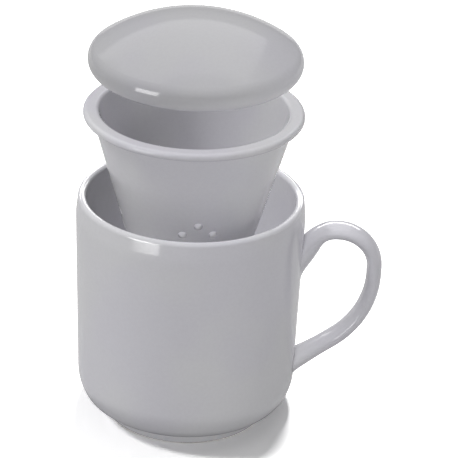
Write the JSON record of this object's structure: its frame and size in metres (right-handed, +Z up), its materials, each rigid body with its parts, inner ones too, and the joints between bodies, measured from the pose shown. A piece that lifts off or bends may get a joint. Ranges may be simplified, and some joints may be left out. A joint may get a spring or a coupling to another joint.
{
  "type": "lidded tea mug with infuser",
  "caption": "Straight-sided porcelain tea mug with an ear handle, a conical lift-out strainer that hangs by its flange, and a smooth pebble-shaped lid without a knob.",
  "frame": {"origin": "on the cup's axis, in the plane its foot ring stands on", "axes": "+Z up along the cup's axis, +X from the axis towards the handle, +Y to the right-hand side of the handle seen from outside it"},
  "size_m": [0.1143, 0.085, 0.1585],
  "materials": {
    "porcelain_glaze": "clear gloss glaze over pale porcelain, slightly waxy"
  },
  "bodies": {
    "mug": {"mug_cup": "porcelain_glaze", "mug_handle": "porcelain_glaze"},
    "infuser": {"infuser": "porcelain_glaze"},
    "lid": {"lid": "porcelain_glaze"}
  },
  "joints": [
    {"name": "infuser_lift", "type": "slide", "parent": "mug", "child": "infuser", "axis": [0, 0, 1], "range_m": [-0.0313, 0.03]},
    {"name": "lid_lift", "type": "slide", "parent": "infuser", "child": "lid", "axis": [0, 0, 1], "range_m": [-0.0142, 0.03]}
  ]
}
